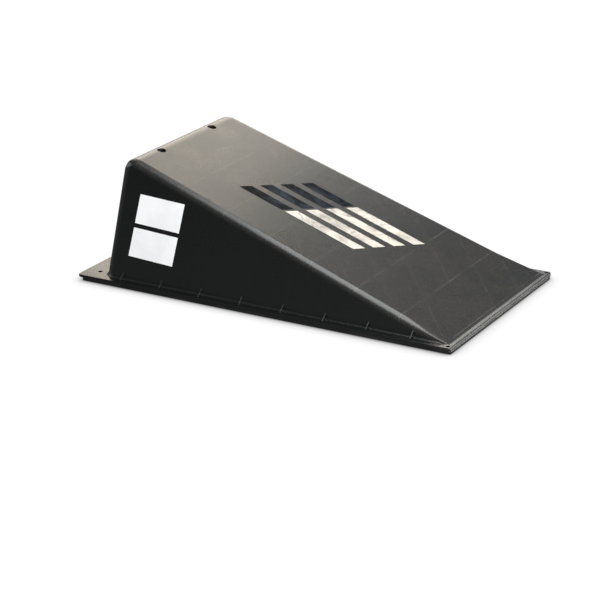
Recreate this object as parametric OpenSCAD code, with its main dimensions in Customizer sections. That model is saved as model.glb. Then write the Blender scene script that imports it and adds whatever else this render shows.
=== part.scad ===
// Moulded launch ramp: a hollow plastic shell on four base rails, held up inside by
// cross ribs and long ties. X runs down the ramp to its front lip, Y across, Z up.
// The origin is on the ground under the middle of the flange.

/* [Overall] */
// Length over the flange
ramp_len = 900; // [860:10:940]
// Width over the flange
ramp_w = 480; // [460:10:520]
// Height of the deck's rear edge above the ground
ramp_h = 287; // [260:1:310]

/* [Base] */
// How far the foot pads stand below the rails
pad_proud = 1.5; // [1:0.5:3]
// Thickness of the base rails
rail_t = 7.5; // [6:0.5:12]
// Thickness of the shell's flange
flange_t = 6; // [5:0.5:8]
// Corner radius of the flange
flange_r = 7; // [3:1:12]
// How far the rails stand back from the flange's sides
rail_side_inset = 3; // [1:0.5:3]
// How far the rear rail stands back from the flange's rear edge
rail_rear_inset = 8; // [2:1:12]

/* [Shell] */
// Wall thickness of the shell
wall = 4; // [3:0.5:5]
// Depth of the flange behind the rear wall
rear_flange = 56; // [50:1:60]
// Depth of the flange in front of the deck
front_flange = 14; // [12:1:20]
// Width of the flange beside each side wall
side_flange = 18; // [16:1:22]
// Inward lean of the side walls, in degrees
side_draft = 6.4; // [5:0.1:7]
// Inward lean of the rear wall, in degrees
rear_draft = 9.6; // [8:0.1:10]
// Radius along the deck's sides
edge_r = 18; // [15:1:20]
// Radius along the deck's rear edge
rear_r = 36; // [30:1:38]
// Radius of the upright rear corners at the deck
crown_r = 24; // [20:1:28]
// Radius of the upright rear corners at the flange
corner_r = 32; // [28:1:40]

/* [Gussets] */
// Number of gussets along each side wall
gusset_n = 8; // [4:1:8]
// Distance between gussets
gusset_pitch = 100; // [80:5:100]
// Place of the rearmost gusset behind the middle
gusset_start = 342; // [330:1:345]
// Height of a gusset above the flange
gusset_h = 15; // [8:1:18]
// Thickness of a gusset
gusset_t = 3; // [2:0.5:4]

/* [Inside] */
// Distance between the cross ribs
rib_pitch = 104.5; // [102:0.5:106]
// Place of the rearmost cross rib behind the middle
rib_start = 196; // [190:1:200]
// Thickness of the ribs and ties
board_t = 4; // [3:0.5:5]
// Distance between the long ties
tie_pitch = 105; // [90:5:115]
// Depth of the moulded lattice under the deck
lattice_h = 10; // [6:1:12]

/* [Holes and fasteners] */
// Diameter of the rear flange's corner holes
rear_hole_d = 10; // [8:0.5:12]
// Diameter of the rear flange's stake holes
stake_hole_d = 16; // [12:1:18]
// Diameter of the front corner holes
front_hole_d = 8.5; // [6:0.5:9]
// Diameter of the two holes in the deck's rear edge
top_hole_d = 20; // [14:1:24]
// Shank diameter of the frame screws
screw_d = 5; // [4:0.5:5]
// Diameter of a foot pad
pad_d = 28; // [20:1:30]

/* [Hidden] */
$fn = 48;
seam_z = pad_proud + rail_t;
base_z = seam_z + flange_t;
half_len = ramp_len / 2;
half_w = ramp_w / 2;
wall_rear_x = -half_len + rear_flange;
wall_side_y = half_w - side_flange;
deck_front_x = half_len - front_flange;
deck_rear_x = wall_rear_x + (ramp_h - base_z) * tan(rear_draft);
slope = atan2(ramp_h - base_z, deck_front_x - deck_rear_x);
deck_t_z = wall / cos(slope);

hull_fn = 32;
slice = 1;
solid_lip = 40;
lattice_lip = 55;
over = 60;

rail_front_inset = 0.5;
rail_r = 5;
rail_y = half_w - rail_side_inset;
rail_under = 30;
rear_rail_under = 32;
front_rail_w = 100;
rail_in_y = wall_side_y - rail_under;
rear_rail_x = [-half_len + rail_rear_inset, wall_rear_x + rear_rail_under];
front_rail_x = [half_len - front_rail_w, half_len - rail_front_inset];

rear_hole_in = 35;
rear_hole_x = -half_len + rear_hole_in;
rear_hole_y = half_w - rear_hole_in;
stake_hole_y = 150;
front_hole_in = 9;
front_hole_x = half_len - front_hole_in;
front_hole_y = half_w - front_hole_in;
top_hole_in = 35;
top_hole_x = deck_rear_x + top_hole_in;
top_hole_y = 98;

rib_n = 6;
board_gap = 0.2;
rib_side_gap = 0.6;
rib_chamfer = 10;
tie_head = 45;
tie_drop = deck_t_z + lattice_h / cos(slope) + 1.5;
tie_front_x = front_rail_x[0] + 30;
lattice_t = 2.5;
lattice_seat = 10;
lattice_edge = 10;
lattice_start = 64;
lattice_n = 10;
lattice_shift = 3;

boss_r = 7.5;
boss_h = 20;
boss_web = 5;
boss_in = 15;
side_web = 12.2;
rear_web = 14.2;
insert_r = 3.2;
insert_len = 8;
insert_gap = 0.05;
screw_sink = 0.3;
screw_head_r = 4.7;
screw_head_h = 2.4;
screw_len = 14;
screw_clear = 0.25;
drive_r = 1.7;
drive_depth = 1.4;
pad_t = 3;
pad_gap = 0.2;
film_t = 0.4;

// Where the screws stand: beside the side walls, behind the rear wall's foot, and in the front lip
side_screws = [for (i = [-1 : rib_n - 1], side = [-1, 1])
    [rib_x(i) + rib_pitch / 2, side * (wall_side_y - boss_in)]];
rear_screws = [for (y = [-150, -50, 50, 150]) [wall_rear_x + 17, y]];
lip_screws = [for (y = [-150, 0, 150]) [half_len - 32, y]];
screws = concat(side_screws, rear_screws, lip_screws);

// Where the foot pads stand under each rail
rear_pads = [for (y = [-205, 0, 205]) [-half_len + 70, y]];
front_pads = [for (y = [-196, -75, 75, 196]) [half_len - 26, y]];
side_pads = [for (i = [0, 2, 4]) [rib_x(i), wall_side_y - 8]];
left_pads = [for (p = side_pads) [p[0], -p[1]]];
pads = concat(rear_pads, front_pads, side_pads, left_pads);

// Side graphic: two slanted bars, one over the other, each [start, width, foot, height]
side_blocks = [[0, 112, 0, 65], [0, 112, 75, 65]];
side_block_lean = 9;
side_block_tilt = -3;
side_block_at = [-329, 70];

// Deck graphic: lanes of slanted bars, measured down the deck from its rear edge
lane_n = 4;
lane_w = 26;
lane_gap = 20;
lane_first_y = -74;
lane_start = 228;
lane_stagger = 24;
bar_dark_len = 110;
bar_pale_len = 172;
bar_gap = 8;
bar_slant = 14;

// Height of the deck's top face at x
function deck_z(x) = ramp_h - (x - deck_rear_x) * tan(slope);
// Half width over the side walls' outer faces at height z
function side_y(z) = wall_side_y - (z - base_z) * tan(side_draft);
// Place of the rear wall's outer face at height z
function rear_x(z) = wall_rear_x + (z - base_z) * tan(rear_draft);
// Place of cross rib i, counted from the rear
function rib_x(i) = -rib_start + i * rib_pitch;
// Top of the long ties at x
function tie_z(x) = deck_z(x) - tie_drop;
// Height at which a rib and a tie cross: each is slotted to here
function lap_z(x) = seam_z + (tie_z(x) - seam_z) / 2;
// Centre of the rounded side edge, s down the deck
function edge_y(s) = side_y(ramp_h - s * sin(slope) - edge_r * cos(slope)) - edge_r / cos(side_draft);

// Places its children in the deck's plane: X down the slope, Z square to the deck
module on_deck() {
    translate([deck_rear_x, 0, ramp_h]) rotate([0, slope, 0]) children();
}

module both_sides() {
    children();
    mirror([0, 1, 0]) children();
}

// ---- Shell ----

// The wedge inside its outer faces, or with less > 0 the same wedge less deep all round
module wedge(less) {
    rear_s = rear_r / tan((90 + rear_draft - slope) / 2);
    crown_z = ramp_h - rear_s * sin(slope) - rear_r * cos(slope);
    crown_y = side_y(crown_z) - crown_r / cos(side_draft);
    front_s = (deck_front_x - deck_rear_x) / cos(slope);
    foot_z = seam_z - slice;
    hull() both_sides() {
        on_deck() translate([rear_s, crown_y, -rear_r])
            scale([1, (crown_r - less) / (rear_r - less), 1]) sphere(rear_r - less, $fn = 2 * hull_fn);
        on_deck() for (s = [lattice_start, front_s]) translate([s, edge_y(s), -edge_r])
            rotate([0, 90, 0]) cylinder(r = edge_r - less, h = slice, center = true, $fn = hull_fn);
        translate([rear_x(foot_z) + corner_r, side_y(foot_z) - corner_r, foot_z])
            cylinder(r = corner_r - less, h = slice, $fn = 2 * hull_fn);
    }
}

module flange() {
    r = flange_r;
    translate([0, 0, seam_z]) {
        translate([-half_len, -half_w + r, 0]) cube([ramp_len, ramp_w - 2 * r, flange_t]);
        translate([-half_len + r, -half_w, 0]) cube([ramp_len - 2 * r, ramp_w, flange_t]);
        for (x = [-1, 1], y = [-1, 1]) translate([x * (half_len - r), y * (half_w - r), 0])
            cylinder(r = r, h = flange_t);
    }
}

module gussets() {
    sunk = 0.5;
    toe_h = 1.5;
    toe_y = half_w - 4.5;
    root_y = wall_side_y - wall / 2 - sunk;
    both_sides() for (i = [0 : gusset_n - 1])
        translate([-gusset_start + i * gusset_pitch - gusset_t / 2, 0, 0])
            rotate([90, 0, 90]) linear_extrude(gusset_t) polygon([
                [root_y, base_z - sunk], [toe_y, base_z - sunk], [toe_y, base_z + toe_h],
                [side_y(base_z + gusset_h), base_z + gusset_h], [root_y, base_z + gusset_h]]);
}

// Shallow diagonal ribs moulded under the deck, left out where a cross rib bears on it
module lattice() {
    end_x = half_len - lattice_lip;
    s1 = (end_x - deck_rear_x) / cos(slope);
    y0 = side_y(deck_z(deck_rear_x)) - lattice_edge;
    y1 = side_y(deck_z(end_x)) - lattice_edge;
    pitch = rib_pitch / cos(slope);
    reach = ramp_len + ramp_w;
    on_deck() translate([0, 0, -wall - lattice_h]) linear_extrude(lattice_h + wall / 4)
        difference() {
            intersection() {
                polygon([[lattice_start, -y0], [s1, -y1], [s1, y1], [lattice_start, y0]]);
                for (i = [-lattice_n : lattice_n], turn = [-45, 45]) translate([i * pitch, 0]) rotate(turn)
                    square([lattice_t, reach], center = true);
            }
            for (i = [0 : rib_n - 1])
                translate([(rib_x(i) - deck_rear_x) / cos(slope) + lattice_shift, -half_w])
                    translate([-lattice_seat / 2, 0]) square([lattice_seat, ramp_w]);
        }
}

// One screw boss with its web out to the wall; turn and reach are the web's direction and length
module boss(p, turn, reach) {
    top = min(seam_z + boss_h, deck_z(p[0] + boss_r) - deck_t_z / 2);
    translate([p[0], p[1], seam_z]) {
        cylinder(r = boss_r, h = top - seam_z);
        rotate(turn) translate([0, -boss_web / 2, 0])
            cube([reach, boss_web, top - seam_z]);
    }
}

module bosses() {
    for (p = side_screws) boss(p, p[1] > 0 ? 90 : -90, side_web);
    for (p = rear_screws) boss(p, 180, rear_web);
}

module flange_holes() {
    for (side = [-1, 1]) {
        translate([rear_hole_x, side * rear_hole_y, -1]) cylinder(d = rear_hole_d, h = ramp_h);
        translate([rear_hole_x, side * stake_hole_y, -1]) cylinder(d = stake_hole_d, h = ramp_h);
        translate([front_hole_x, side * front_hole_y, -1]) cylinder(d = front_hole_d, h = ramp_h);
    }
}

module ramp_shell() {
    color([0.1, 0.1, 0.1]) difference() {
        union() {
            difference() {
                union() {
                    intersection() {
                        wedge(0);
                        translate([-half_len, -half_w, seam_z])
                            cube([half_len + deck_front_x + 1, ramp_w, ramp_h]);
                    }
                    flange();
                    gussets();
                }
                intersection() {
                    wedge(wall);
                    translate([-half_len, -half_w, 0])
                        cube([ramp_len - solid_lip, ramp_w, ramp_h]);
                }
            }
            lattice();
            bosses();
        }
        flange_holes();
        for (p = screws) translate([p[0], p[1], seam_z - 1])
            cylinder(r = insert_r + insert_gap, h = insert_len + 1.5);
        for (side = [-1, 1]) translate([top_hole_x, side * top_hole_y, ramp_h - over])
            cylinder(d = top_hole_d, h = 2 * over);
    }
}

// ---- Base rails ----

// A flat strip with square ends, drilled for the screws, pads and flange holes that fall in it
module rail(x0, x1, y0, y1) {
    difference() {
        translate([x0, y0, pad_proud]) cube([x1 - x0, y1 - y0, rail_t]);
        for (p = screws) if (within(p, x0, x1, y0, y1)) translate([p[0], p[1], 0]) {
            cylinder(r = screw_d / 2 + screw_clear, h = over);
            translate([0, 0, pad_proud - 1]) cylinder(r = screw_head_r + screw_clear, h = 1 + screw_sink);
            translate([0, 0, pad_proud + screw_sink])
                cylinder(r1 = screw_head_r + screw_clear, r2 = screw_d / 2 + screw_clear, h = screw_head_h);
        }
        for (p = pads) if (within(p, x0, x1, y0, y1))
            translate([p[0], p[1], 0]) cylinder(d = pad_d + 2 * pad_gap, h = pad_t);
        flange_holes();
    }
}

function within(p, x0, x1, y0, y1) = p[0] > x0 && p[0] < x1 && p[1] > y0 && p[1] < y1;

// A rail across the ramp, with its two outer corners rounded: ahead is 1 at the front, -1 at the rear
module end_rail(x0, x1, ahead) {
    corner_x = (ahead > 0 ? x1 : x0) - ahead * rail_r;
    difference() {
        rail(x0, x1, -rail_y, rail_y);
        for (side = [-1, 1]) difference() {
            translate([corner_x, side * (rail_y - rail_r), 0]) scale([ahead, side, 1])
                cube([rail_r + 1, rail_r + 1, over]);
            translate([corner_x, side * (rail_y - rail_r), -1]) cylinder(r = rail_r, h = over + 2);
        }
    }
}

module front_rail() {
    color([0.16, 0.16, 0.16]) end_rail(front_rail_x[0], front_rail_x[1], 1);
}

module rear_rail() {
    color([0.16, 0.16, 0.16]) end_rail(rear_rail_x[0], rear_rail_x[1], -1);
}

module side_rail_right() {
    color([0.16, 0.16, 0.16]) rail(rear_rail_x[1], front_rail_x[0], rail_in_y, rail_y);
}

module side_rail_left() {
    color([0.16, 0.16, 0.16]) rail(rear_rail_x[1], front_rail_x[0], -rail_y, -rail_in_y);
}

// ---- Ribs and ties ----

// Half the rib's outline, from its foot on the rail up to the deck
module cross_rib(i) {
    x = rib_x(i);
    top = deck_z(x + board_t / 2) - deck_t_z;
    foot_y = side_y(seam_z) - wall - rib_side_gap;
    top_y = side_y(top) - wall - rib_side_gap;
    shoulder_y = side_y(top - rib_chamfer) - wall - rib_side_gap;
    slot = board_t + 2 * board_gap;
    color([0.22, 0.22, 0.23]) translate([x - board_t / 2, 0, 0]) rotate([90, 0, 90])
        linear_extrude(board_t) difference() {
            polygon([[-foot_y, seam_z], [foot_y, seam_z], [shoulder_y, top - rib_chamfer],
                [top_y - rib_chamfer, top], [-top_y + rib_chamfer, top], [-shoulder_y, top - rib_chamfer]]);
            for (k = [-1 : 1]) translate([k * tie_pitch - slot / 2, lap_z(x)]) square([slot, ramp_h]);
        }
}

module long_tie(k) {
    slot = board_t + 2 * board_gap;
    foot_x = rear_x(seam_z) + wall + 1;
    head_z = ramp_h - rear_r - tie_head;
    head_x = deck_rear_x + tie_head;
    color([0.22, 0.22, 0.23]) translate([0, k * tie_pitch + board_t / 2, 0]) rotate([90, 0, 0])
        linear_extrude(board_t) difference() {
            polygon([[foot_x, seam_z], [tie_front_x, seam_z], [tie_front_x, tie_z(tie_front_x)],
                [head_x, tie_z(head_x)], [rear_x(head_z) + wall + 1, head_z]]);
            for (i = [0 : rib_n - 1]) translate([rib_x(i) - slot / 2, 0])
                square([slot, lap_z(rib_x(i)) + board_gap]);
        }
}

// ---- Fasteners and pads ----

module threaded_inserts() {
    color([0.78, 0.6, 0.28]) for (p = screws) translate([p[0], p[1], seam_z]) difference() {
        cylinder(r = insert_r, h = insert_len);
        translate([0, 0, -1]) cylinder(r = screw_d / 2 + insert_gap, h = insert_len + 2);
    }
}

module frame_screws() {
    color([0.6, 0.6, 0.62]) for (p = screws) translate([p[0], p[1], pad_proud + screw_sink]) difference() {
        union() {
            cylinder(r1 = screw_head_r, r2 = screw_d / 2, h = screw_head_h);
            cylinder(r = screw_d / 2, h = screw_len);
        }
        translate([0, 0, -1]) cylinder(r = drive_r, h = drive_depth + 1, $fn = 6);
    }
}

module foot_pads() {
    color([0.13, 0.13, 0.13]) for (p = pads) translate([p[0], p[1], 0]) cylinder(d = pad_d, h = pad_t);
}

// ---- Graphics ----

module slanted_bar(start, length, foot, height, lean) {
    polygon([[start, foot], [start + length, foot], [start + length + lean, foot + height],
        [start + lean, foot + height]]);
}

module side_graphic_left() {
    color([0.93, 0.93, 0.93]) translate([0, -wall_side_y, base_z]) rotate([90 - side_draft, 0, 0])
        translate([side_block_at[0], side_block_at[1] - base_z, 0]) rotate(side_block_tilt)
            linear_extrude(film_t) for (b = side_blocks) slanted_bar(
                b[0] + b[2] * tan(side_block_lean), b[1], b[2], b[3], b[3] * tan(side_block_lean));
}

module side_graphic_right() {
    mirror([0, 1, 0]) side_graphic_left();
}

// The bars of every lane, from offset down the lane and length long
module deck_bars(offset, length) {
    on_deck() linear_extrude(film_t) for (k = [0 : lane_n - 1])
        slanted_bar(lane_start + k * lane_stagger + offset, length,
            lane_first_y + k * (lane_w + lane_gap), lane_w, bar_slant);
}

module deck_graphic_dark() {
    color([0.04, 0.04, 0.045]) deck_bars(0, bar_dark_len);
}

module deck_graphic_pale() {
    color([0.78, 0.74, 0.66]) deck_bars(bar_dark_len + bar_gap, bar_pale_len);
}

ramp_shell();
front_rail();
rear_rail();
side_rail_left();
side_rail_right();
for (i = [1 : rib_n]) {
    cross_rib(i - 1);
}
long_tie(-1);  // long_tie_left
long_tie(0);  // long_tie_centre
long_tie(1);  // long_tie_right
threaded_inserts();
frame_screws();
foot_pads();
side_graphic_left();
side_graphic_right();
deck_graphic_dark();
deck_graphic_pale();
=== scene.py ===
import math

import bmesh
import bpy
from mathutils import Matrix, Vector


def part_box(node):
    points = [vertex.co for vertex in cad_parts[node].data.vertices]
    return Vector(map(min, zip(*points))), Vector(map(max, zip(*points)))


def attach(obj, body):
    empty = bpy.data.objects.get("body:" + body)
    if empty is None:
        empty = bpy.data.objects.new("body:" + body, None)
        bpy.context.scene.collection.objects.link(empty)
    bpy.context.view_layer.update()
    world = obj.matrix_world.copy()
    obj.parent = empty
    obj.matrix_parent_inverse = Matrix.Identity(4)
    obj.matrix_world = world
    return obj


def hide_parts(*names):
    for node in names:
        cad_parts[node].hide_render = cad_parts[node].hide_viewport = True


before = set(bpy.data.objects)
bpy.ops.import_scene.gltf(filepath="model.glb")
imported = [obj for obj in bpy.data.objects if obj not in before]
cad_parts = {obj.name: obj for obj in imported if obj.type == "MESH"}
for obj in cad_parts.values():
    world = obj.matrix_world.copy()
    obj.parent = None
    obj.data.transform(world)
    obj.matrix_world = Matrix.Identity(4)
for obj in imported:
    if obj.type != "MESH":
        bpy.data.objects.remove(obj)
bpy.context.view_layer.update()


# ---- Shell body ----
# The ramp is one moulding of black polypropylene: a hollow wedge with a flat flange round its foot.
# Its walls lean in so that it leaves the mould, and every upper edge is well rounded.
flange_low, flange_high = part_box("ramp_shell")
seam_z = flange_low.z
flange_t = 0.006
flange_z = seam_z + flange_t
half_len = flange_high.x
half_w = flange_high.y
flange_corner = 0.007
edge_break = 0.0007
deck_height = 0.287
wall_t = 0.004
wall_foot_rear = -half_len + 0.056
wall_foot_side = half_w - 0.018
deck_foot = half_len - 0.014
side_lean = math.tan(math.radians(6.4))
rear_lean = math.tan(math.radians(9.6))
deck_rear = wall_foot_rear + (deck_height - flange_z) * rear_lean
deck_fall = (deck_height - flange_z) / (deck_foot - deck_rear)
deck_angle = math.atan(deck_fall)
round_steps = 10
crest_set_back = 0.0425
side_set_back = 0.0161
upright_set_back = 0.0265
side_round, upright_round = 0.018, 0.027
taper_start, taper_end_share = 0.335, 0.02


def side_at(z):
    return wall_foot_side - (z - flange_z) * side_lean


def rear_at(z):
    return wall_foot_rear + (z - flange_z) * rear_lean


def deck_at(x):
    return deck_height - (x - deck_rear) * deck_fall


def leave_edit():
    if bpy.context.object and bpy.context.object.mode == "EDIT":
        bpy.ops.object.mode_set(mode="OBJECT")


def deselect_all():
    leave_edit()
    bpy.ops.object.select_all(action="DESELECT")


def take(obj):
    deselect_all()
    obj.select_set(True)
    bpy.context.view_layer.objects.active = obj


def edit(kind="EDGE"):
    bpy.ops.object.mode_set(mode="EDIT")
    bpy.ops.mesh.select_mode(type=kind)


def pick(kind, wanted):
    mesh = bmesh.from_edit_mesh(bpy.context.object.data)
    bpy.ops.mesh.select_mode(type=kind)
    bpy.ops.mesh.select_all(action="DESELECT")
    mesh.normal_update()
    chosen = {"VERT": mesh.verts, "EDGE": mesh.edges, "FACE": mesh.faces}[kind]
    for part in chosen:
        if wanted(part):
            part.select_set(True)
    mesh.select_flush_mode()
    bmesh.update_edit_mesh(bpy.context.object.data)


def middle(edge):
    return (edge.verts[0].co + edge.verts[1].co) / 2


def new_block(name, low, high):
    deselect_all()
    centre = [(a + b) / 2 for a, b in zip(low, high)]
    size = [b - a for a, b in zip(low, high)]
    bpy.ops.mesh.primitive_cube_add(size=1, location=centre, scale=size)
    block = bpy.context.object
    block.name = name
    place_in_mesh(block)
    return block


def new_rod(name, x, y, low, high, radius, sides=48):
    deselect_all()
    bpy.ops.mesh.primitive_cylinder_add(
        vertices=sides, radius=radius, depth=high - low, location=(x, y, (low + high) / 2))
    rod = bpy.context.object
    rod.name = name
    place_in_mesh(rod)
    return rod


def place_in_mesh(obj):
    take(obj)
    bpy.ops.object.transform_apply(location=True, rotation=True, scale=True)


def apply_modifier(obj, kind, **values):
    take(obj)
    step = obj.modifiers.new(kind.lower(), kind)
    for key, value in values.items():
        setattr(step, key, value)
    bpy.ops.object.modifier_apply(modifier=step.name)


def combine(obj, tool, operation):
    apply_modifier(obj, "BOOLEAN", operation=operation, object=tool, solver="EXACT")
    bpy.data.objects.remove(tool)


def joined(parts, name):
    deselect_all()
    for part in parts:
        part.select_set(True)
    bpy.context.view_layer.objects.active = parts[0]
    bpy.ops.object.join()
    parts[0].name = name
    return parts[0]


def copy_of(obj, move=(0, 0, 0), mirror_y=False):
    twin = obj.copy()
    twin.data = obj.data.copy()
    bpy.context.collection.objects.link(twin)
    twin.data.transform(Matrix.Translation(move))
    if mirror_y:
        twin.data.transform(Matrix.Diagonal((1, -1, 1, 1)))
        twin.data.flip_normals()
    return twin


def move_vertices(wanted, x=0.0, z=0.0, widen=1.0):
    pick("VERT", wanted)
    bpy.ops.transform.resize(value=(1, widen, 1), center_override=(0, 0, 0))
    bpy.ops.transform.translate(value=(x, 0, z))


def weigh_edges(wanted, weight):
    pick("EDGE", wanted)
    bpy.ops.transform.edge_bevelweight(value=weight)


# The wedge is made longer and deeper than needed, rounded, and then cut off at cut_x and cut_z.
# inward moves all its faces in by a wall's thickness, and its roundings shrink with them.
def new_wedge(name, inward, cut_x, cut_z):
    below, ahead = -0.06, 0.45
    side_in = inward / math.cos(math.atan(side_lean))
    rear_in = inward / math.cos(math.atan(rear_lean))
    deck_in = inward / math.cos(deck_angle)
    top_x = (rear_at(deck_height) + rear_in) - deck_in * rear_lean
    top_x = rear_at(deck_at(top_x) - deck_in) + rear_in
    top_z = deck_at(top_x) - deck_in
    front_z = deck_at(ahead) - deck_in
    foot_side = side_at(below) - side_in
    foot_rear = rear_at(below) + rear_in
    body = new_block(name, (foot_rear, -foot_side, below), (ahead, foot_side, top_z))
    edit("VERT")
    rear_width = (side_at(top_z) - side_in) / foot_side
    front_width = (side_at(front_z) - side_in) / foot_side
    move_vertices(lambda v: v.co.z > 0 and v.co.x < 0, x=top_x - foot_rear, widen=rear_width)
    move_vertices(lambda v: v.co.z > 0 and v.co.x > 0.1, z=front_z - top_z, widen=front_width)
    weigh_edges(lambda e: abs(middle(e).y) < 0.01 and middle(e).z > 0.1, 1.0)
    shrink = (side_round - inward) / side_round
    weigh_edges(lambda e: abs(middle(e).y) > 0.1 and middle(e).z > 0.08 and middle(e).x > 0,
                side_set_back * shrink / crest_set_back)
    shrink = (upright_round - inward) / upright_round
    weigh_edges(lambda e: abs(middle(e).y) > 0.1 and middle(e).x < -0.3
                and abs(e.verts[0].co.z - e.verts[1].co.z) > 0.1,
                upright_set_back * shrink / crest_set_back)
    leave_edit()
    apply_modifier(body, "BEVEL", limit_method="WEIGHT", offset_type="OFFSET", width=crest_set_back,
                   segments=round_steps, profile=0.5)
    edit()
    bpy.ops.mesh.select_all(action="SELECT")
    bpy.ops.mesh.bisect(plane_co=(taper_start, 0, 0), plane_no=(1, 0, 0))
    for side in (-1, 1):
        pick("VERT", lambda v: v.co.x > ahead - 1e-4 and side * v.co.y > 0.1 and v.co.z > below + 0.001)
        corner = (ahead, side * front_width * foot_side, front_z)
        bpy.ops.transform.resize(value=(taper_end_share,) * 3, center_override=corner)
    bpy.ops.mesh.select_all(action="SELECT")
    bpy.ops.mesh.bisect(plane_co=(cut_x, 0, 0), plane_no=(1, 0, 0), use_fill=True, clear_outer=True)
    bpy.ops.mesh.select_all(action="SELECT")
    bpy.ops.mesh.bisect(plane_co=(0, 0, cut_z), plane_no=(0, 0, 1), use_fill=True, clear_inner=True)
    leave_edit()
    return body


shell = new_block("shell", (-half_len, -half_w, seam_z), (half_len, half_w, flange_z))
edit()
pick("EDGE", lambda e: abs(e.verts[0].co.z - e.verts[1].co.z) > flange_t / 2)
bpy.ops.mesh.bevel(offset=flange_corner, segments=8, profile=0.5)
pick("EDGE", lambda e: abs(e.verts[0].co.z - e.verts[1].co.z) < 1e-5 and len(e.link_faces) == 2
     and abs(e.link_faces[0].normal.z - e.link_faces[1].normal.z) > 0.5)
bpy.ops.mesh.bevel(offset=edge_break, segments=2, profile=0.5)
leave_edit()
combine(shell, new_wedge("wedge", 0.0, deck_foot + 0.001, seam_z + 0.001), "UNION")

# The walls run into the flange in a small fillet.
wall_fillet, fillet_end = 0.004, 0.395
edit()
pick("EDGE", lambda e: len(e.link_faces) == 2 and abs(middle(e).z - flange_z) < 1e-4
     and max(abs(f.normal.z) for f in e.link_faces) > 0.98
     and min(abs(f.normal.z) for f in e.link_faces) < 0.4
     and abs(middle(e).y) < half_w - 0.005 and abs(middle(e).x) < half_len - 0.005
     and middle(e).x < fillet_end)
bpy.ops.mesh.bevel(offset=wall_fillet, segments=4, profile=0.5)
leave_edit()

# The front edge of the flange is stepped back and slopes out again towards the seam below it.
lip_set_back, lip_slope = 0.0025, 0.0033
step = new_block("step", (half_len - lip_set_back, -half_w - 0.01, seam_z + edge_break),
                 (half_len + 0.01, half_w + 0.01, flange_z + 0.005))
edit()
pick("EDGE", lambda e: abs(middle(e).x - half_len + lip_set_back) < 1e-5 and middle(e).z < seam_z + 0.001
     and abs(middle(e).y) < 0.01)
bpy.ops.mesh.bevel(offset=lip_slope, segments=1)
leave_edit()
combine(shell, step, "DIFFERENCE")


# ---- Gussets ----
# Eight thin webs on each side tie the wall to the flange. They are part of the same moulding.
# Each falls from the wall to a low toe near the flange's edge.
gusset_first, gusset_pitch, gusset_count = -0.342, 0.1, 8
gusset_t, gusset_rise, gusset_toe, gusset_round = 0.003, 0.015, 0.0015, 0.0006
toe_y = half_w - 0.0045
root_y = wall_foot_side - 0.0025
gusset = new_block("gusset", (gusset_first - gusset_t / 2, -toe_y, flange_z - 0.0005),
                   (gusset_first + gusset_t / 2, -root_y, flange_z + gusset_rise))
edit("VERT")
pick("VERT", lambda v: v.co.z > flange_z and v.co.y < -root_y - 0.001)
bpy.ops.transform.translate(value=(0, 0, gusset_toe - gusset_rise))
pick("EDGE", lambda e: abs(middle(e).x - gusset_first) > gusset_t / 3 and middle(e).z > flange_z + 0.001
     and abs(e.verts[0].co.y - e.verts[1].co.y) > 0.005)
bpy.ops.mesh.bevel(offset=gusset_round, segments=2, profile=0.5)
leave_edit()
webs = [gusset] + [copy_of(gusset, (i * gusset_pitch, 0, 0)) for i in range(1, gusset_count)]
webs += [copy_of(web, mirror_y=True) for web in list(webs)]
combine(shell, joined(webs, "gussets"), "UNION")


# ---- Hollow, lattice and bosses ----
# The underside is open. Shallow diagonal ribs stiffen the deck from below, and screw bosses stand
# on the flange beside the walls, each with a web to the wall.
combine(shell, new_wedge("hollow", wall_t, half_len - 0.04, seam_z - 0.002), "DIFFERENCE")

rib_first, rib_pitch, rib_count = -0.196, 0.1045, 6
lattice_depth, lattice_t, lattice_inset = 0.010, 0.0025, 0.010
lattice_rear, lattice_front = 0.064, half_len - 0.055
seat_shift, seat_half = 0.003, 0.005
deck_pitch = rib_pitch / math.cos(deck_angle)
deck_place = Matrix.Translation((deck_rear, 0, deck_height)) @ Matrix.Rotation(deck_angle, 4, "Y")
lattice_end = (lattice_front - deck_rear) / math.cos(deck_angle)
rear_edge = side_at(deck_at(deck_rear)) - lattice_inset
front_edge = side_at(deck_at(lattice_front)) - lattice_inset
slab_half = 0.5
for turn in (-45, 45):
    slab = new_block("lattice", (lattice_rear, -slab_half, -wall_t - lattice_depth),
                     (lattice_end, slab_half, -wall_t * 0.75))
    edit("VERT")
    move_vertices(lambda v: v.co.x < 0.1, widen=rear_edge / slab_half)
    move_vertices(lambda v: v.co.x > 0.1, widen=front_edge / slab_half)
    leave_edit()
    seats = []
    for i in range(rib_count):
        at = (rib_first + i * rib_pitch - deck_rear) / math.cos(deck_angle) + seat_shift
        seats.append(new_block("seat", (at - seat_half, -0.3, -0.05), (at + seat_half, 0.3, 0.01)))
    combine(slab, joined(seats, "seats"), "DIFFERENCE")
    bars = []
    for i in range(-2, 11):
        bar = new_block("bar", (-lattice_t / 2, -0.6, -0.05), (lattice_t / 2, 0.6, 0.01))
        bar.data.transform(Matrix.Translation((i * deck_pitch, 0, 0))
                           @ Matrix.Rotation(math.radians(turn), 4, "Z"))
        bars.append(bar)
    combine(slab, joined(bars, "bars"), "INTERSECT")
    slab.data.transform(deck_place)
    combine(shell, slab, "UNION")

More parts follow.
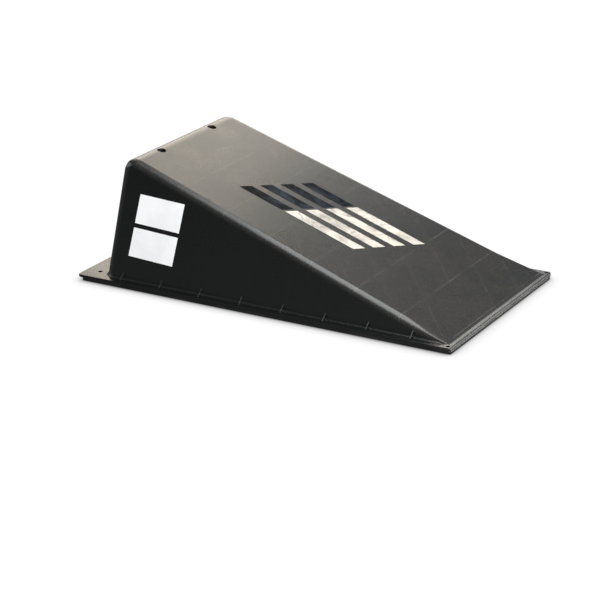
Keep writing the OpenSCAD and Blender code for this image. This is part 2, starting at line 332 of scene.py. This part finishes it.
boss_r, boss_h, boss_web = 0.0075, 0.020, 0.005
boss_in, side_web_reach, rear_web_reach = 0.015, 0.0122, 0.0142
side_bosses = [(rib_first + (i + 0.5) * rib_pitch, side * (wall_foot_side - boss_in))
               for i in range(-1, rib_count) for side in (-1, 1)]
rear_bosses = [(wall_foot_rear + 0.017, y) for y in (-0.15, -0.05, 0.05, 0.15)]
lip_screws = [(half_len - 0.032, y) for y in (-0.15, 0, 0.15)]
boss_parts = []
for x, y in side_bosses + rear_bosses:
    top = min(seam_z + boss_h, deck_at(x + boss_r) - wall_t / 2)
    boss = new_rod("boss", x, y, seam_z, top, boss_r, 24)
    if (x, y) in side_bosses:
        low, high = sorted((y, y + math.copysign(side_web_reach, y)))
        web = new_block("web", (x - boss_web / 2, low, seam_z), (x + boss_web / 2, high, top))
    else:
        web = new_block("web", (x - rear_web_reach, y - boss_web / 2, seam_z), (x, y + boss_web / 2, top))
    combine(boss, web, "UNION")
    boss_parts.append(boss)
combine(shell, joined(boss_parts, "bosses"), "UNION")


# ---- Holes ----
# Peg and bolt holes pass through the flange's corners, and two round holes in the deck's rear edge
# take link pegs. Under the bosses are the blind holes of the threaded inserts.
rear_hole_x = -half_len + 0.035
corner_hole = (rear_hole_x, half_w - 0.035, 0.005)
stake_hole = (rear_hole_x, 0.15, 0.008)
lip_hole = (half_len - 0.009, half_w - 0.009, 0.00425)
flange_holes = (corner_hole, stake_hole, lip_hole)
link_hole_x, link_hole_y, link_hole_r = deck_rear + 0.035, 0.098, 0.010
insert_hole_r, insert_hole_h = 0.00325, 0.0085
screw_places = side_bosses + rear_bosses + lip_screws
drills = []
for side in (-1, 1):
    for x, y, r in flange_holes:
        drills.append(new_rod("drill", x, side * y, -0.01, 0.05, r))
    drills.append(new_rod("drill", link_hole_x, side * link_hole_y, deck_height - 0.06, deck_height + 0.06,
                          link_hole_r, 64))
for x, y in screw_places:
    drills.append(new_rod("drill", x, y, seam_z - 0.001, seam_z + insert_hole_h, insert_hole_r, 24))
combine(shell, joined(drills, "drills"), "DIFFERENCE")
take(shell)
bpy.ops.object.shade_smooth_by_angle(angle=math.radians(32))
apply_modifier(shell, "WEIGHTED_NORMAL", keep_sharp=True, weight=80)
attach(shell, "root")
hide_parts("ramp_shell")


# ---- Moulded plastic ----
# The shell's black plastic has a fine spark-eroded grain. Handling has left soft cloudy patches and
# hairline scuffs, and the ribs under the deck show through it as faint paler lines.
def add(tree, kind, values=(), **settings):
    node = tree.nodes.new(kind)
    for key, value in settings.items():
        setattr(node, key, value)
    for socket, value in dict(values).items():
        if isinstance(value, bpy.types.NodeSocket):
            tree.links.new(value, node.inputs[socket])
        else:
            node.inputs[socket].default_value = value
    return node


def math_node(tree, operation, a, b=0.0, c=0.0):
    return add(tree, "ShaderNodeMath", {0: a, 1: b, 2: c}, operation=operation).outputs[0]


def ramp_node(tree, value, low, high, out_low=0.0, out_high=1.0):
    return add(tree, "ShaderNodeMapRange",
               {"Value": value, "From Min": low, "From Max": high, "To Min": out_low, "To Max": out_high},
               interpolation_type="SMOOTHSTEP").outputs[0]


def mix_colour(tree, amount, a, b):
    return add(tree, "ShaderNodeMix", {0: amount, 6: a, 7: b}, data_type="RGBA").outputs[2]


def marked(tree, mask, share, under, colour):
    return mix_colour(tree, math_node(tree, "MULTIPLY", mask, share), under, colour)


def new_group(name, inputs, outputs):
    group = bpy.data.node_groups.new(name, "ShaderNodeTree")
    for label, kind, value in inputs:
        socket = group.interface.new_socket(name=label, in_out="INPUT", socket_type=kind)
        if value is not None:
            socket.default_value = value
    for label, kind in outputs:
        group.interface.new_socket(name=label, in_out="OUTPUT", socket_type=kind)
    entry = group.nodes.new("NodeGroupInput")
    exit_node = group.nodes.new("NodeGroupOutput")
    return group, entry, exit_node


def use_group(tree, group, values):
    return add(tree, "ShaderNodeGroup", values, node_tree=group)


FLOAT, VECTOR = "NodeSocketFloat", "NodeSocketVector"

grain_group, entry, leaving = new_group(
    "moulded_grain", [("Place", VECTOR, None), ("Grain", FLOAT, 700.0), ("Ripple", FLOAT, 60.0)],
    [("Height", FLOAT), ("Speckle", FLOAT), ("Mottle", FLOAT)])
fine = add(grain_group, "ShaderNodeTexNoise",
           {"Vector": entry.outputs["Place"], "Scale": entry.outputs["Grain"], "Detail": 3.0,
            "Roughness": 0.6})
pits = add(grain_group, "ShaderNodeTexVoronoi",
           {"Vector": entry.outputs["Place"], "Scale": entry.outputs["Grain"], "Randomness": 1.0})
ripple = add(grain_group, "ShaderNodeTexNoise",
             {"Vector": entry.outputs["Place"], "Scale": entry.outputs["Ripple"], "Detail": 2.0})
grain_sum = math_node(grain_group, "MULTIPLY_ADD", pits.outputs["Distance"], 0.5, fine.outputs["Fac"])
grain_sum = math_node(grain_group, "MULTIPLY_ADD", ripple.outputs["Fac"], 1.2, grain_sum)
grain_group.links.new(grain_sum, leaving.inputs["Height"])
grain_group.links.new(ramp_node(grain_group, fine.outputs["Fac"], 0.3, 0.7), leaving.inputs["Speckle"])
grain_group.links.new(ramp_node(grain_group, ripple.outputs["Fac"], 0.42, 0.68), leaving.inputs["Mottle"])

handling_group, entry, leaving = new_group(
    "handling_marks", [("Place", VECTOR, None), ("Patch", FLOAT, 9.0), ("Scuff", FLOAT, 30.0)],
    [("Cloud", FLOAT), ("Scuffs", FLOAT)])
cloud = add(handling_group, "ShaderNodeTexNoise",
            {"Vector": entry.outputs["Place"], "Scale": entry.outputs["Patch"], "Detail": 4.0,
             "Roughness": 0.55, "Distortion": 0.4})
handling_group.links.new(ramp_node(handling_group, cloud.outputs["Fac"], 0.36, 0.66), leaving.inputs["Cloud"])
scuff_sum = None
for turn, stretch in ((0.5, 14.0), (-0.9, 11.0), (1.4, 17.0)):
    lay = add(handling_group, "ShaderNodeMapping",
              {"Vector": entry.outputs["Place"], "Rotation": (0.2, 0.3, turn), "Scale": (1, stretch, 4)})
    streak = add(handling_group, "ShaderNodeTexNoise",
                 {"Vector": lay.outputs["Vector"], "Scale": entry.outputs["Scuff"], "Detail": 5.0,
                  "Roughness": 0.7})
    line = ramp_node(handling_group, streak.outputs["Fac"], 0.68, 0.76)
    scuff_sum = line if scuff_sum is None else math_node(handling_group, "MAXIMUM", scuff_sum, line)
handling_group.links.new(scuff_sum, leaving.inputs["Scuffs"])

mark_group, entry, leaving = new_group(
    "rib_marks",
    [("Deck place", VECTOR, None), ("First", FLOAT, 0.16), ("Pitch", FLOAT, 0.11), ("Width", FLOAT, 0.0016)],
    [("Across", FLOAT), ("Diagonal", FLOAT), ("Deck", FLOAT)])
deck_axes = add(mark_group, "ShaderNodeSeparateXYZ", {0: entry.outputs["Deck place"]})
down = math_node(mark_group, "SUBTRACT", deck_axes.outputs["X"], entry.outputs["First"])


def rib_line(value):
    half_pitch = math_node(mark_group, "MULTIPLY", entry.outputs["Pitch"], 0.5)
    nearest = math_node(mark_group, "PINGPONG", value, half_pitch)
    falling = math_node(mark_group, "DIVIDE", nearest, entry.outputs["Width"])
    return ramp_node(mark_group, falling, 1.0, 0.0)


on_top = ramp_node(mark_group, deck_axes.outputs["Z"], -0.016, -0.002)
on_edge = ramp_node(mark_group, deck_axes.outputs["Z"], -0.009, -0.006)
past_first = ramp_node(mark_group, down, -0.03, -0.02)
patchy = add(mark_group, "ShaderNodeTexNoise",
             {"Vector": entry.outputs["Deck place"], "Scale": 26.0, "Detail": 2.0})
patchy = ramp_node(mark_group, patchy.outputs["Fac"], 0.32, 0.68, 0.15, 1.0)
across = math_node(mark_group, "MULTIPLY", rib_line(down), on_edge)
across = math_node(mark_group, "MULTIPLY", across, past_first)
mark_group.links.new(math_node(mark_group, "MULTIPLY", across, patchy), leaving.inputs["Across"])
diagonals = []
for side in (1.0, -1.0):
    run = math_node(mark_group, "MULTIPLY_ADD", deck_axes.outputs["Y"], side, down)
    diagonals.append(rib_line(run))
both = math_node(mark_group, "MAXIMUM", diagonals[0], math_node(mark_group, "MULTIPLY", diagonals[1], 0.5))
both = math_node(mark_group, "MULTIPLY", both, patchy)
mark_group.links.new(math_node(mark_group, "MULTIPLY", both, on_top), leaving.inputs["Diagonal"])
mark_group.links.new(on_top, leaving.inputs["Deck"])


def new_material(name):
    made = bpy.data.materials.new(name)
    made.use_nodes = True
    tree = made.node_tree
    place = tree.nodes.new("ShaderNodeTexCoord").outputs["Object"]
    return made, tree, tree.nodes["Principled BSDF"], place


def lay_finish(tree, surface, colour, rough, grain=None, raised=0.0, depth=0.0003):
    tree.links.new(colour, surface.inputs["Base Color"])
    tree.links.new(rough, surface.inputs["Roughness"])
    if grain:
        bump = add(tree, "ShaderNodeBump",
                   {"Height": grain.outputs["Height"], "Strength": raised, "Distance": depth})
        tree.links.new(bump.outputs["Normal"], surface.inputs["Normal"])


def give(obj, material):
    obj.data.materials.clear()
    obj.data.materials.append(material)
    for face in obj.data.polygons:
        face.material_index = 0


shell_plastic, tree, surface, place = new_material("shell_plastic")
grain = use_group(tree, grain_group, {"Place": place, "Grain": 650.0, "Ripple": 260.0})
handling = use_group(tree, handling_group, {"Place": place, "Patch": 7.0, "Scuff": 22.0})
deck_lay = add(tree, "ShaderNodeMapping",
               {"Vector": place, "Location": (deck_rear, 0, deck_height), "Rotation": (0, deck_angle, 0)},
               vector_type="TEXTURE")
marks = use_group(tree, mark_group, {"Deck place": deck_lay.outputs["Vector"],
                                     "First": (rib_first - deck_rear) / math.cos(deck_angle),
                                     "Pitch": deck_pitch, "Width": 0.0016})
worn = math_node(tree, "MULTIPLY", handling.outputs["Cloud"], marks.outputs["Deck"])
trodden = math_node(tree, "MULTIPLY", grain.outputs["Mottle"], marks.outputs["Deck"])
deep_black, dry_black = (0.0025, 0.0028, 0.0029, 1), (0.0045, 0.0047, 0.0046, 1)
trodden_black, dusty_brown = (0.015, 0.0149, 0.0145, 1), (0.020, 0.0175, 0.0145, 1)
line_grey, scuff_grey = (0.09, 0.087, 0.08, 1), (0.1, 0.1, 0.1, 1)
black = mix_colour(tree, grain.outputs["Speckle"], deep_black, dry_black)
black = mix_colour(tree, trodden, black, trodden_black)
black = marked(tree, worn, 0.6, black, dusty_brown)
black = marked(tree, marks.outputs["Across"], 0.5, black, line_grey)
black = marked(tree, marks.outputs["Diagonal"], 0.28, black, line_grey)
black = marked(tree, handling.outputs["Scuffs"], 0.12, black, scuff_grey)
rough = ramp_node(tree, handling.outputs["Cloud"], 0.0, 1.0, 0.29, 0.25)
rough = math_node(tree, "MULTIPLY_ADD", grain.outputs["Speckle"], 0.05, rough)
lay_finish(tree, surface, black, rough, grain, 0.28, 0.0004)
give(shell, shell_plastic)


# ---- Base rails ----
# Four flat black bars form the ramp's base under the flange, and screws from below clamp them to it.
# Each is drilled for the screws and pads, and the front one has a sloping nose.
pad_proud, rail_top = 0.0015, seam_z
rail_side = half_w - 0.003
rail_inner = wall_foot_side - 0.030
rear_rail = (-half_len + 0.008, wall_foot_rear + 0.032)
front_rail = (half_len - 0.1, half_len - 0.0005)
screw_hole_r, screw_head_r, sink_h, sink_z = 0.00275, 0.0054, 0.0029, 0.00275
pocket_r, pocket_top = 0.0142, 0.003
nose_drop = 0.0008
pad_places = [(-half_len + 0.07, y) for y in (-0.205, 0, 0.205)]
pad_places += [(half_len - 0.026, y) for y in (-0.196, -0.075, 0.075, 0.196)]
pad_places += [(rib_first + i * rib_pitch, side * (wall_foot_side - 0.008))
               for i in (0, 2, 4) for side in (-1, 1)]


def new_rail(name, x0, x1, y0, y1, nose=0.0, corner_at=None):
    rail = new_block(name, (x0, y0, pad_proud), (x1, y1, rail_top))
    edit()
    if corner_at is not None:
        pick("EDGE", lambda e: abs(e.verts[0].co.z - e.verts[1].co.z) > 0.003
             and abs(middle(e).x - corner_at) < 1e-4)
        bpy.ops.mesh.bevel(offset=0.005, segments=6, profile=0.5)
    if nose:
        pick("EDGE", lambda e: abs(middle(e).x - x1) < 1e-4 and abs(middle(e).z - pad_proud) > 0.003
             and abs(e.verts[0].co.y - e.verts[1].co.y) > 0.1)
        bpy.ops.transform.translate(value=(-nose, 0, -nose_drop))
    pick("EDGE", lambda e: len(e.link_faces) == 2
         and e.link_faces[0].normal.angle(e.link_faces[1].normal) > 0.9)
    bpy.ops.mesh.bevel(offset=0.0005, segments=2, profile=0.5)
    leave_edit()
    cuts = []
    for x, y in screw_places:
        if x0 < x < x1 and y0 < y < y1:
            cuts.append(new_rod("cut", x, y, -0.01, 0.05, screw_hole_r, 32))
            deselect_all()
            bpy.ops.mesh.primitive_cone_add(vertices=32, radius1=screw_head_r, radius2=screw_hole_r,
                                            depth=sink_h, location=(x, y, sink_z))
            cuts.append(bpy.context.object)
            place_in_mesh(cuts[-1])
    for x, y in pad_places:
        if x0 < x < x1 and y0 < y < y1:
            cuts.append(new_rod("cut", x, y, -0.01, pocket_top, pocket_r, 40))
    for x, y, r in flange_holes:
        cuts += [new_rod("cut", x, side * y, -0.01, 0.05, r) for side in (-1, 1)
                 if x0 < x < x1 and y0 < side * y < y1]
    for cut in cuts:
        combine(rail, cut, "DIFFERENCE")
    take(rail)
    bpy.ops.object.shade_smooth_by_angle(angle=math.radians(32))
    return rail


rails = {
    "front_rail": new_rail("front_bar", *front_rail, -rail_side, rail_side, nose=0.003,
                           corner_at=front_rail[1]),
    "rear_rail": new_rail("rear_bar", *rear_rail, -rail_side, rail_side, corner_at=rear_rail[0]),
    "side_rail_left": new_rail("left_bar", rear_rail[1], front_rail[0], -rail_side, -rail_inner),
    "side_rail_right": new_rail("right_bar", rear_rail[1], front_rail[0], rail_inner, rail_side)}
rail_plastic, tree, surface, place = new_material("rail_plastic")
grain = use_group(tree, grain_group, {"Place": place, "Grain": 900.0, "Ripple": 25.0})
handling = use_group(tree, handling_group, {"Place": place, "Patch": 14.0, "Scuff": 28.0})
black = mix_colour(tree, handling.outputs["Cloud"], (0.004, 0.0042, 0.0046, 1), (0.009, 0.0088, 0.0086, 1))
black = marked(tree, handling.outputs["Scuffs"], 0.3, black, (0.08, 0.08, 0.08, 1))
rough = ramp_node(tree, handling.outputs["Cloud"], 0.0, 1.0, 0.34, 0.46)
lay_finish(tree, surface, black, rough, grain, 0.2)
for name, rail in rails.items():
    give(rail, rail_plastic)
    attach(rail, "root")
    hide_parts(name)


# ---- Ribs and ties ----
# Six cross ribs and three long ties slot into each other under the deck. They are cut from dark grey
# sheet with a satin face.
rib_plastic, tree, surface, place = new_material("rib_plastic")
grain = use_group(tree, grain_group, {"Place": place, "Grain": 500.0, "Ripple": 30.0})
handling = use_group(tree, handling_group, {"Place": place, "Patch": 10.0, "Scuff": 35.0})
grey = mix_colour(tree, handling.outputs["Cloud"], (0.022, 0.0225, 0.024, 1), (0.036, 0.0362, 0.037, 1))
grey = marked(tree, handling.outputs["Scuffs"], 0.35, grey, (0.12, 0.12, 0.12, 1))
rough = ramp_node(tree, grain.outputs["Speckle"], 0.0, 1.0, 0.42, 0.55)
lay_finish(tree, surface, grey, rough, grain, 0.3, 0.0004)
for i in range(1, rib_count + 1):
    give(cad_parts[f"cross_rib_{i}"], rib_plastic)
for name in ("long_tie_left", "long_tie_centre", "long_tie_right"):
    give(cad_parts[name], rib_plastic)


# ---- Inserts and screws ----
# Brass inserts are pressed into the shell's bosses. Countersunk socket screws of zinc-plated steel
# come up into them through the rails.
insert_brass, tree, surface, place = new_material("insert_brass")
handling = use_group(tree, handling_group, {"Place": place, "Patch": 180.0, "Scuff": 300.0})
brass = mix_colour(tree, handling.outputs["Cloud"], (0.72, 0.50, 0.20, 1), (0.50, 0.34, 0.14, 1))
lay_finish(tree, surface, brass, ramp_node(tree, handling.outputs["Cloud"], 0.0, 1.0, 0.22, 0.4))
surface.inputs["Metallic"].default_value = 1.0
give(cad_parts["threaded_inserts"], insert_brass)

screw_steel, tree, surface, place = new_material("screw_steel")
handling = use_group(tree, handling_group, {"Place": place, "Patch": 220.0, "Scuff": 400.0})
steel = mix_colour(tree, handling.outputs["Cloud"], (0.62, 0.63, 0.65, 1), (0.45, 0.46, 0.47, 1))
steel = marked(tree, handling.outputs["Scuffs"], 0.5, steel, (0.8, 0.8, 0.8, 1))
lay_finish(tree, surface, steel, ramp_node(tree, handling.outputs["Cloud"], 0.0, 1.0, 0.25, 0.42))
surface.inputs["Metallic"].default_value = 1.0
give(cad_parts["frame_screws"], screw_steel)


# ---- Foot pads ----
# Thirteen round rubber pads sit in pockets under the rails and keep the ramp from sliding.
# Each is a little moulding with a chamfered rim and a shallow ring groove in its sole.
pads_low, pads_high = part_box("foot_pads")
pad_r, pad_h, pad_chamfer = 0.014, pads_high.z - pads_low.z, 0.0005
rim_w, groove_w, groove_d = 0.0035, 0.0022, 0.0006
pad = new_rod("foot_pads", 0, 0, 0, pad_h, pad_r, 40)
edit()
pick("EDGE", lambda e: abs(e.verts[0].co.z - e.verts[1].co.z) < 1e-6)
bpy.ops.mesh.bevel(offset=pad_chamfer, segments=2, profile=0.5)
pick("FACE", lambda f: f.normal.z < -0.99)
bpy.ops.mesh.inset(thickness=rim_w)
bpy.ops.mesh.inset(thickness=groove_d)
bpy.ops.transform.translate(value=(0, 0, groove_d))
bpy.ops.mesh.inset(thickness=groove_w)
bpy.ops.mesh.inset(thickness=groove_d)
bpy.ops.transform.translate(value=(0, 0, -groove_d))
leave_edit()
pads = [copy_of(pad, (x, y, 0)) for x, y in pad_places]
bpy.data.objects.remove(pad)
foot_pads = joined(pads, "rubber_pads")
bpy.ops.object.shade_smooth_by_angle(angle=math.radians(30))
pad_rubber, tree, surface, place = new_material("pad_rubber")
grain = use_group(tree, grain_group, {"Place": place, "Grain": 1400.0, "Ripple": 120.0})
handling = use_group(tree, handling_group, {"Place": place, "Patch": 60.0, "Scuff": 90.0})
rubber = mix_colour(tree, handling.outputs["Cloud"], (0.012, 0.012, 0.012, 1), (0.035, 0.034, 0.032, 1))
rough = ramp_node(tree, grain.outputs["Speckle"], 0.0, 1.0, 0.7, 0.85)
lay_finish(tree, surface, rubber, rough, grain, 0.4)
give(foot_pads, pad_rubber)
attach(foot_pads, "root")
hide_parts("foot_pads")


# ---- Printed graphics ----
# Two plain slanted bars in white film on each side wall, and slanted bars in black and clouded cream
# film on the deck. The film is thin enough to show a little of the grain under it.
white_film, tree, surface, place = new_material("white_film")
grain = use_group(tree, grain_group, {"Place": place, "Grain": 650.0, "Ripple": 45.0})
handling = use_group(tree, handling_group, {"Place": place, "Patch": 18.0, "Scuff": 40.0})
white = mix_colour(tree, handling.outputs["Cloud"], (0.80, 0.805, 0.81, 1), (0.74, 0.745, 0.75, 1))
white = marked(tree, handling.outputs["Scuffs"], 0.25, white, (0.45, 0.45, 0.45, 1))
rough = ramp_node(tree, grain.outputs["Speckle"], 0.0, 1.0, 0.38, 0.5)
lay_finish(tree, surface, white, rough, grain, 0.15)
for name in ("side_graphic_left", "side_graphic_right"):
    give(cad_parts[name], white_film)

cloud_group, entry, leaving = new_group(
    "printed_clouding", [("Place", VECTOR, None), ("Size", FLOAT, 20.0)], [("Wash", FLOAT), ("Vein", FLOAT)])
wash = add(cloud_group, "ShaderNodeTexNoise",
           {"Vector": entry.outputs["Place"], "Scale": entry.outputs["Size"], "Detail": 6.0,
            "Roughness": 0.62, "Distortion": 0.8})
cloud_group.links.new(ramp_node(cloud_group, wash.outputs["Fac"], 0.38, 0.68), leaving.inputs["Wash"])
fold_size = math_node(cloud_group, "MULTIPLY", entry.outputs["Size"], 0.8)
fold = add(cloud_group, "ShaderNodeTexNoise",
           {"Vector": entry.outputs["Place"], "Scale": fold_size, "Detail": 3.0, "Roughness": 0.5,
            "Distortion": 1.4})
ridge = math_node(cloud_group, "ABSOLUTE", math_node(cloud_group, "SUBTRACT", fold.outputs["Fac"], 0.5))
cloud_group.links.new(ramp_node(cloud_group, ridge, 0.02, 0.0), leaving.inputs["Vein"])

pale_film, tree, surface, place = new_material("pale_film")
printed = use_group(tree, cloud_group, {"Place": place, "Size": 16.0})
grain = use_group(tree, grain_group, {"Place": place, "Grain": 650.0, "Ripple": 45.0})
cream = mix_colour(tree, printed.outputs["Wash"], (0.42, 0.385, 0.33, 1), (0.19, 0.178, 0.16, 1))
cream = marked(tree, printed.outputs["Vein"], 0.7, cream, (0.10, 0.095, 0.088, 1))
rough = ramp_node(tree, grain.outputs["Speckle"], 0.0, 1.0, 0.40, 0.52)
lay_finish(tree, surface, cream, rough, grain, 0.15)
give(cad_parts["deck_graphic_pale"], pale_film)

dark_film, tree, surface, place = new_material("dark_film")
printed = use_group(tree, cloud_group, {"Place": place, "Size": 22.0})
grain = use_group(tree, grain_group, {"Place": place, "Grain": 650.0, "Ripple": 45.0})
ink = mix_colour(tree, printed.outputs["Wash"], (0.002, 0.0022, 0.0028, 1), (0.016, 0.020, 0.027, 1))
ink = marked(tree, printed.outputs["Vein"], 0.4, ink, (0.04, 0.047, 0.058, 1))
rough = ramp_node(tree, grain.outputs["Speckle"], 0.0, 1.0, 0.50, 0.62)
lay_finish(tree, surface, ink, rough, grain, 0.12)
surface.inputs["Specular IOR Level"].default_value = 0.02
give(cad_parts["deck_graphic_dark"], dark_film)


# ---- Floor, light and camera ----
# The floor and room are plain white to the camera and dim in reflections, and a painted contact shadow
# darkens the floor's white glow softly where the ramp meets it. Warm and neutral panels behind glance off the
# deck and the lip, a cool one overhead draws the rounded edges, and broad fills stand in front and at the
# rear.
white_level, dim_level, painted_shadow_reach = 1.04, 0.2, 0.055
deselect_all()
bpy.ops.mesh.primitive_plane_add(size=30, location=(0, 0, 0))
floor = bpy.context.object
floor.name = "floor"
floor_paint = bpy.data.materials.new("floor_paint")
floor_paint.use_nodes = True
floor_tree = floor_paint.node_tree
paint = floor_tree.nodes["Principled BSDF"]
paint.inputs["Base Color"].default_value = (0.10, 0.10, 0.10, 1)
paint.inputs["Roughness"].default_value = 0.9
paint.inputs["Specular IOR Level"].default_value = 0.0
# Painted shadow: ambient occlusion darkens the floor's glow to the camera near the ramp, standing in for a
# contact shadow.
painted_contact_shadow = add(floor_tree, "ShaderNodeAmbientOcclusion", {"Distance": painted_shadow_reach}, samples=16)
glow = add(floor_tree, "ShaderNodeEmission", {"Color": painted_contact_shadow.outputs["Color"], "Strength": white_level})
ray = add(floor_tree, "ShaderNodeLightPath")
shown = add(floor_tree, "ShaderNodeMixShader",
            {0: ray.outputs["Is Camera Ray"], 1: paint.outputs["BSDF"], 2: glow.outputs["Emission"]})
floor_tree.links.new(shown.outputs["Shader"], floor_tree.nodes["Material Output"].inputs["Surface"])
floor.data.materials.append(floor_paint)

sky = bpy.data.worlds.new("studio")
bpy.context.scene.world = sky
sky.use_nodes = True
sky_tree = sky.node_tree
room = sky_tree.nodes["Background"]
room.inputs["Color"].default_value = (0.96, 0.98, 1, 1)
ray = add(sky_tree, "ShaderNodeLightPath")
room_level = ramp_node(sky_tree, ray.outputs["Is Camera Ray"], 0.0, 1.0, dim_level, white_level)
sky_tree.links.new(room_level, room.inputs["Strength"])


def soft_light(name, place, aim, size, glow, tint):
    lamp = bpy.data.lights.new(name, "AREA")
    lamp.shape = "RECTANGLE"
    lamp.size, lamp.size_y = size
    lamp.energy = glow * math.pi * size[0] * size[1]
    lamp.color = tint
    stand = bpy.data.objects.new(name, lamp)
    bpy.context.collection.objects.link(stand)
    stand.location = place
    stand.rotation_euler = (Vector(aim) - Vector(place)).to_track_quat("-Z", "Y").to_euler()
    stand.visible_camera = False


soft_light("rear_softbox", (-1.22, 1.5, 1.15), (-1.22, 0, 0.85), (1.4, 1.4), 3.0, (1.0, 0.9, 0.76))
soft_light("corner_light", (-1.6, 1.45, 0.75), (-1.6, 0, 0.6), (1.0, 0.8), 0.5, (1.0, 0.9, 0.75))
soft_light("rear_panel", (0.6, 2.4, 1.0), (0.6, 0, 0.6), (3.6, 2.0), 0.1, (0.97, 1.0, 0.97))
soft_light("low_rear_light", (-1.0, 2.4, 0.85), (-1.0, 0, 0.6), (1.0, 0.9), 2.4, (0.98, 1.0, 0.98))
soft_light("overhead_softbox", (0.5, 0, 2.0), (0.5, 0, 0), (1.7, 2.2), 6.0, (0.96, 0.99, 1.0))
soft_light("low_side_light", (2.0, 2.0, 0.36), (0.45, 0, 0), (1.0, 0.7), 8.0, (1.0, 1.0, 0.97))
soft_light("lip_light", (1.36, 2.0, 1.25), (0.45, 0, 0), (0.8, 0.8), 4.5, (1.0, 1.0, 0.97))
soft_light("front_fill", (2.4, -2.0, 1.3), (0, 0, 0.1), (3.2, 2.4), 8.0, (1.0, 1.0, 1.0))
soft_light("rear_fill", (-2.6, -0.5, 0.8), (-0.4, 0, 0.2), (2.0, 1.2), 1.4, (0.97, 1.0, 0.99))

azimuth, elevation, roll = math.radians(31.348), math.radians(21.310), math.radians(-1.373)
distance = 3.94292
sensor_width, reach_over_width = 36, 2012.44 / 600
target = Vector((0.16989, -0.33658, 0.1))
back = Vector((math.sin(azimuth) * math.cos(elevation), -math.cos(azimuth) * math.cos(elevation),
               math.sin(elevation)))
right = Vector((math.cos(azimuth), math.sin(azimuth), 0))
up = back.cross(right)
camera_right = right * math.cos(roll) + up * math.sin(roll)
camera_up = up * math.cos(roll) - right * math.sin(roll)
lens = bpy.data.cameras.new("camera")
lens.sensor_width = sensor_width
lens.lens = reach_over_width * sensor_width
lens.clip_start, lens.clip_end = 0.05, 50
camera = bpy.data.objects.new("camera", lens)
bpy.context.collection.objects.link(camera)
turn = Matrix((camera_right, camera_up, back)).transposed()
camera.matrix_world = Matrix.Translation(target + back * distance) @ turn.to_4x4()
bpy.context.scene.camera = camera
bpy.context.scene.view_settings.view_transform = "Standard"
